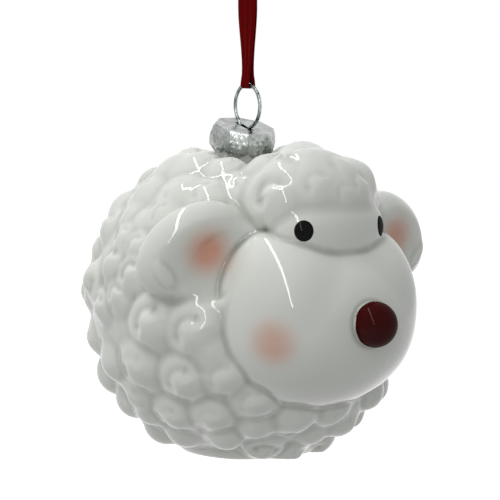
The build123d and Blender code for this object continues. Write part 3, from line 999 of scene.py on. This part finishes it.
class CapShape:
    """The stamped sheet of the cap, as rings round the neck: radius and level of each one's points."""

    def __init__(self):
        self.sizes = sizes = bpy.context.scene.ornament_cap
        mouth, self.top, self.widest = along_neck("cap")
        self.height = self.top - mouth
        whole = 2 * math.pi
        panel_points, dents = 28, 46
        self.turns = np.linspace(0.0, whole, sizes.petals * panel_points, endpoint=False)
        self.across = (self.turns / whole * sizes.petals + 0.5) % 1.0 - 0.5
        facet = math.cos(math.pi / sizes.petals) / np.cos(self.across * whole / sizes.petals)
        facet = 1.0 + sizes.flat_share * (facet - 1.0)
        self.facet = facet / facet.max()
        draw = np.random.default_rng(sizes.petals)
        self.dents = [
            (draw.uniform(0, whole), draw.uniform(0, 1), draw.uniform(-1, 1)) for _ in range(dents)
        ]

    def crumpled(self, down):
        """Unevenness of the thin sheet, some share of the way down."""
        dent_width, dent_height = 0.22, 0.2
        rise = np.zeros_like(self.turns)
        for turn, depth, amount in self.dents:
            apart = np.abs((self.turns - turn + math.pi) % (2 * math.pi) - math.pi) / dent_width
            below = (down - depth) / dent_height
            rise += amount * np.exp(-(apart**2) - below**2)
        return rise * self.sizes.crumple

    def stamped(self, down):
        """Height of the dots pressed into each panel."""
        width = 2 * math.pi * self.widest / self.sizes.petals
        raised = np.zeros_like(down)
        for aside, below in dot_shares():
            away = np.hypot((self.across - aside) * width, (down - below) * self.height)
            raised += np.exp(-((away / self.sizes.stamp_radius) ** 2))
        return raised * self.sizes.stamp

    def top_rings(self):
        """From the slot, over the sunk top, out to the bead round it."""
        sizes = self.sizes
        rows, sunk = 24, 0.00025
        bead_place, bead_width = 0.94, 0.07
        slot = slot_reach(self.turns, sizes)
        edge = self.widest * sizes.top_share * self.facet
        rings = []
        for part in np.linspace(0.0, 1.0, rows):
            dip = self.crumpled(1.0 - part) / 2 - sunk * math.sin(part * math.pi)
            bead = math.exp(-(((part - bead_place) / bead_width) ** 2)) - 1.0
            level = self.top + dip * part * (part < 1.0) + sizes.bead * bead
            rings.append((slot + (edge - slot) * part, level))
        return rings

    def skirt_rings(self):
        """From the top's edge, down over the bulging panels, to the pointed petals."""
        sizes = self.sizes
        rows, bluntness, fold_width = 40, 1.6, 0.045
        belly, slant, plain_size = 0.55, 0.8, 0.985
        fold_start, stamp_start = 1 / 6, 1 / 5
        notch = 1.0 - sizes.notch_share * (2 * np.abs(self.across)) ** bluntness
        fold = sizes.fold * np.exp(-(((np.abs(self.across) - 0.5) / fold_width) ** 2))
        rings = []
        for part in np.arange(1, rows + 1) / rows:
            down = part * notch
            above = np.sin(np.clip(down / belly, 0, 1) * math.pi / 2) ** slant
            below = np.clip((down - belly) / (1 - belly), 0, 1) ** 2
            barrel = sizes.top_share + (1 - sizes.top_share) * above - (1 - sizes.mouth_share) * below
            radius = self.widest * barrel * self.facet * plain_size
            radius += self.stamped(down) * np.clip(part / stamp_start, 0, 1)
            radius += (self.crumpled(part) - fold) * np.clip(part / fold_start, 0, 1)
            rings.append((np.minimum(radius, self.widest), self.top - self.height * down))
        return rings


def make_cap():
    """The stamped cap: a flat top with a slot, eight bulging panels with folds, dots and pointed petals."""
    sizes, colours = bpy.context.scene.ornament_cap, bpy.context.scene.ornament_finishes
    shape = CapShape()
    rings = shape.top_rings() + shape.skirt_rings()
    around = shape.turns + sizes.turn
    spokes = np.outer(np.cos(around), NECK_BACK) + np.outer(np.sin(around), NECK_SIDE)
    points = [LOOP_CENTRE + np.outer(level, NECK_AXIS) + spokes * radius[:, None] for radius, level in rings]
    silver = metal_finish("cap_silver", colours.silver, colours.silver_dull, scale=220.0)
    faces = grid_faces(len(rings), len(around))
    piece = new_piece("cap_shell", np.concatenate(points), faces, silver, "cap")
    thicken = piece.modifiers.new("sheet", "SOLIDIFY")
    thicken.thickness = sizes.sheet
    thicken.offset = -1.0
    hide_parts("cap")


def make_hanger():
    """The wire loop keeps its drawn shape and gets a polished steel finish."""
    colours = bpy.context.scene.ornament_finishes
    drawn = (2.0, 2.0, 0.5)
    steel = metal_finish("wire_steel", colours.steel, colours.steel_dull, scale=300.0, stretch=drawn)
    wire = frame["nodes"]["hanger_wire"]
    wire.data.materials.clear()
    wire.data.materials.append(steel)
    wire.data.shade_smooth()


def smooth_line(name, route):
    """Points along a smooth curve that a route's points control."""
    line = bpy.data.curves.new(name, "CURVE")
    line.dimensions = "3D"
    line.resolution_u = 16
    spline = line.splines.new("NURBS")
    spline.points.add(len(route) - 1)
    for point, at in zip(spline.points, route):
        point.co = (*at, 1.0)
    spline.order_u = 3
    spline.use_endpoint_u = True
    holder = bpy.data.objects.new(name, line)
    mesh = bpy.data.meshes.new_from_object(holder)
    points = np.array([vertex.co for vertex in mesh.vertices], float)
    bpy.data.meshes.remove(mesh)
    bpy.data.objects.remove(holder)
    bpy.data.curves.remove(line)
    return points


def strip(centres, across, half_widths, pleats):
    """A closed flat strip along a line, pleated across its width: its points and faces."""
    sizes = bpy.context.scene.ornament_ribbon
    normals = np.cross(unit(np.gradient(centres, axis=0)), across)
    wide, squareness = 28, 16
    shares = np.linspace(-1.0, 1.0, wide)
    wave = np.cos(shares * math.pi * sizes.pleats)
    edge = np.sqrt(np.maximum(1.0 - shares**squareness, 0.0))
    rings = []
    for centre, side, normal, half, pleat in zip(centres, across, normals, half_widths, pleats):
        for sign in (1, -1):
            lift = pleat * wave + sign * edge * sizes.thickness / 2
            row = centre + np.outer(shares * half, side) + np.outer(lift, normal)
            rings.append(row[::sign])
    columns = 2 * wide
    faces = [face[::-1] for face in grid_faces(len(centres), columns)]
    for first, turn in ((0, 1), ((len(centres) - 1) * columns, -1)):
        last = first + columns - 1
        for column in range(wide - 1):
            face = (first + column, first + column + 1, last - column - 1, last - column)
            faces.append(face[::turn])
    return np.concatenate(rings), faces


def make_strand(name, side, satin):
    """One strand of the ribbon: bunched in the wire loop, open above it and pinched at the knot."""
    sizes = bpy.context.scene.ornament_ribbon
    pinch_drop, pinch_height, pinch_share, pressed_share = 0.004, 0.005, 0.45, 0.75
    line = smooth_line(name, [(x * side, y, z) for x, y, z in STRAND_ROUTE])
    level = line[:, 2]
    opened = np.clip((level - WIRE_TOP[2]) / sizes.gather_height, 0.0, 1.0)
    opened = opened * opened * (3.0 - 2.0 * opened)
    pinched = np.clip((level + pinch_drop) / pinch_height, 0.0, 1.0)
    twist = sizes.twist * opened
    across = np.stack((-np.sin(twist), np.cos(twist), np.zeros(len(line))), axis=1)
    half = sizes.gather_width / 2 + (sizes.width - sizes.gather_width) / 2 * opened
    half *= 1.0 - pinch_share * pinched
    points, faces = strip(line, across, half, sizes.pleat * (1.0 - pressed_share * opened))
    strand = new_piece(name, points, faces, satin, "ribbon")
    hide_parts("ribbon")
    return strand, line


def cut_end(root, side):
    """One cut end of the ribbon: it leans out, opens to its width and is notched at its tip."""
    sizes = bpy.context.scene.ornament_ribbon
    rows, notch_sharpness = 16, 4
    first_lean, more_lean = 0.6, 0.8
    tied_share, opening = 0.55, 2.5
    part = np.linspace(0.0, 1.0, rows)
    lean = side * sizes.tail_lean * (first_lean + more_lean * part)
    steps = np.stack((np.sin(lean), np.zeros(rows), np.cos(lean)), axis=1) * sizes.tail_length / rows
    centres = root + np.cumsum(steps, axis=0)
    across = np.tile((0.0, 1.0, 0.0), (rows, 1))
    half = sizes.width / 2 * (tied_share + (1.0 - tied_share) * np.clip(part * opening, 0, 1))
    points, faces = strip(centres, across, half, sizes.pleat * (1.0 - part))
    along = np.repeat(part, len(points) // rows)
    sideways = np.abs(points[:, 1]) / (sizes.width / 2)
    notch = sizes.tail_notch * (1.0 - sideways) * along**notch_sharpness
    points -= np.outer(notch, unit(centres[-1] - centres[-2]))
    return points, faces


def make_knot(satin):
    """The tied lump: two turns of ribbon over a core, with the cut ends rising out of it."""
    sizes = bpy.context.scene.ornament_ribbon
    middle = np.array((0.0, 0.0, sizes.knot_half[2]))

    def lump(points):
        shape = ellipsoid(points, middle, sizes.knot_half)
        for axis in KNOT_TURNS:
            wrap = ring(points, middle, unit(axis), sizes.wrap_radius, sizes.wrap_half)
            shape = smooth_union(shape, wrap, sizes.thickness / 2)
        return shape

    reach = np.full(3, sizes.wrap_radius + sizes.wrap_half)
    points, faces, _ = shape_mesh(lump, middle - reach, middle + reach, sizes.thickness)
    points, faces = points.tolist(), faces.tolist()
    for side in (-1.0, 1.0):
        tail, tail_faces = cut_end(middle, side)
        first = len(points)
        points += tail.tolist()
        faces += [tuple(first + corner for corner in face) for face in tail_faces]
    knot = new_piece("knot", points, faces, satin, "ribbon")
    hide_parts("ribbon_knot")
    return knot


def make_ribbon():
    """Two strands of satin from the wire to the knot, and the knot with its two cut ends."""
    satin = satin_finish()
    strands = [make_strand("ribbon_front", 1.0, satin), make_strand("ribbon_back", -1.0, satin)]
    knot = make_knot(satin)
    for strand, line in strands:
        tuple(line[0])


def stand(name, data, axes, spot):
    """An object of the stage, with its own directions and its place."""
    holder = bpy.data.objects.new(name, data)
    bpy.context.scene.collection.objects.link(holder)
    rows = [[*row, at] for row, at in zip(np.stack(axes, axis=1), spot)]
    holder.matrix_world = Matrix([*rows, [0, 0, 0, 1]])
    return holder


def make_camera():
    """The photograph's camera."""
    stage = bpy.context.scene.ornament_stage
    view = PhotoView()
    lens = bpy.data.cameras.new("camera")
    lens.sensor_width = stage.sensor * MILLIMETRES_IN_A_METRE
    lens.lens = lens.sensor_width * stage.distance / stage.frame_width
    clip_factor = 50
    lens.clip_start, lens.clip_end = stage.distance / clip_factor, stage.distance * clip_factor
    axes = (view.right, view.up, view.back)
    bpy.context.scene.camera = stand("camera", lens, axes, view.eye)


def add_panel_light(light):
    """A flat lamp that faces the ornament, upright, or along the line of sight when it is high up."""
    view = PhotoView()
    lamp = bpy.data.lights.new(light.name, "AREA")
    lamp.shape = "RECTANGLE"
    lamp.size, lamp.size_y = light.width, light.length
    lamp.energy = light.radiance * math.pi * light.width * light.length
    right, up, back = light.direction
    away = unit(view.right * right + view.up * up + view.back * back)
    side = unit(np.cross(view.back if up > HIGH_UP else view.up, away))
    axes = (side, np.cross(away, side), away)
    holder = stand(light.name, lamp, axes, ball_middle() + away * light.distance)
    holder.visible_glossy = light.mirrored


def seen_directly(owner):
    """One where a ray comes from the camera, a mirror or clear glass, and zero for soft light."""
    path = add_node(owner, "ShaderNodeLightPath").outputs
    total = path["Is Camera Ray"]
    for name in ("Is Glossy Ray", "Is Transmission Ray"):
        total = combined(owner, "MAXIMUM", total, path[name])
    return total


def make_surround():
    """White wherever it is seen, and soft light from all round."""
    scene = bpy.context.scene
    world = bpy.data.worlds.new("studio")
    scene.world = world
    world.use_nodes = True
    background = world.node_tree.nodes["Background"]
    background.inputs["Color"].default_value = opaque(WHITE)
    level = ranged(world, seen_directly(world), 0.0, 1.0, low=scene.ornament_stage.ambient, high=1.0)
    plug(world, level, background, "Strength")


def floor_finish():
    """Pale floor that keeps the shadow and meets the white surround without an edge."""
    stage = bpy.context.scene.ornament_stage
    finish, shader = new_finish(
        "pale_floor",
        Base_Color=opaque(stage.floor_colour),
        Roughness=0.9,
        Specular_IOR_Level=0.0,
        Emission_Color=opaque(WHITE),
    )
    glow = combined(finish, "MULTIPLY", seen_directly(finish), stage.floor_glow)
    plug(finish, glow, shader, "Emission Strength")
    return finish


def make_floor():
    """A round floor far below the ornament."""
    stage = bpy.context.scene.ornament_stage
    sides = 96
    turns = np.linspace(0.0, 2 * math.pi, sides, endpoint=False)
    level = np.full(sides, FOOT_LEVEL - stage.drop)
    rim = np.stack((stage.floor_radius * np.cos(turns), stage.floor_radius * np.sin(turns), level), axis=1)
    mesh = bpy.data.meshes.new("floor")
    mesh.from_pydata(rim.tolist(), [], [tuple(range(sides))])
    mesh.materials.append(floor_finish())
    floor = bpy.data.objects.new("floor", mesh)
    bpy.context.scene.collection.objects.link(floor)


def make_stage():
    """A white studio: the camera, the lamps, a white surround and a pale floor."""
    bpy.context.scene.view_settings.view_transform = "Standard"
    make_camera()
    for light in LIGHTS:
        add_panel_light(light)
    make_surround()
    make_floor()


class ORNAMENT_OT_stage(bpy.types.Operator):
    """Set up the camera, the lights and the floor"""

    bl_idname = "ornament.stage"
    bl_label = "Studio"

    def execute(self, context):
        make_stage()
        return {"FINISHED"}


class ORNAMENT_OT_ribbon(bpy.types.Operator):
    """Hang the satin ribbon and tie its knot"""

    bl_idname = "ornament.ribbon"
    bl_label = "Ribbon"

    def execute(self, context):
        make_ribbon()
        return {"FINISHED"}


class ORNAMENT_OT_hanger(bpy.types.Operator):
    """Polish the wire loop"""

    bl_idname = "ornament.hanger"
    bl_label = "Wire loop"

    def execute(self, context):
        make_hanger()
        return {"FINISHED"}


class ORNAMENT_OT_cap(bpy.types.Operator):
    """Stamp the silver cap"""

    bl_idname = "ornament.cap"
    bl_label = "Cap"

    def execute(self, context):
        make_cap()
        return {"FINISHED"}


class ORNAMENT_OT_glass(bpy.types.Operator):
    """Blow the glass sheep, lacquer it and paint its nose and eyes"""

    bl_idname = "ornament.glass"
    bl_label = "Glass and enamel"

    def execute(self, context):
        shape = GlassShape()
        make_glass(shape)
        make_enamel(shape)
        return {"FINISHED"}


OPERATORS = (ORNAMENT_OT_stage, ORNAMENT_OT_ribbon, ORNAMENT_OT_hanger, ORNAMENT_OT_cap, ORNAMENT_OT_glass)
GROUPS = {
    "ornament_body": BodySizes,
    "ornament_wool": WoolSizes,
    "ornament_head": HeadSizes,
    "ornament_enamel": EnamelSizes,
    "ornament_cap": CapSizes,
    "ornament_ribbon": RibbonSizes,
    "ornament_finishes": Finishes,
    "ornament_stage": StageSizes,
}


class ORNAMENT_PT_panel(bpy.types.Panel):
    """Sizes, colours and steps of the ornament"""

    bl_idname = "ORNAMENT_PT_panel"
    bl_label = "Glass Sheep Ornament"
    bl_space_type = "VIEW_3D"
    bl_region_type = "UI"
    bl_category = "Ornament"

    def draw(self, context):
        for operator in OPERATORS:
            self.layout.operator(operator.bl_idname)
        for name, group in GROUPS.items():
            box = self.layout.box()
            box.label(text=group.__doc__)
            for size in group.__annotations__:
                box.prop(getattr(context.scene, name), size)


def register():
    """Adds the classes, and the sizes to the scene."""
    for name, group in GROUPS.items():
        bpy.utils.register_class(group)
        setattr(bpy.types.Scene, name, PointerProperty(type=group))
    for shown in (*OPERATORS, ORNAMENT_PT_panel):
        bpy.utils.register_class(shown)


def unregister():
    """Takes away what register added."""
    for shown in (ORNAMENT_PT_panel, *reversed(OPERATORS)):
        bpy.utils.unregister_class(shown)
    for name, group in reversed(GROUPS.items()):
        delattr(bpy.types.Scene, name)
        bpy.utils.unregister_class(group)


def main():
    """Builds the whole ornament."""
    register()
    bpy.ops.ornament.stage()
    bpy.ops.ornament.ribbon()
    bpy.ops.ornament.hanger()
    bpy.ops.ornament.cap()
    bpy.ops.ornament.glass()


if __name__ == "__main__":
    main()
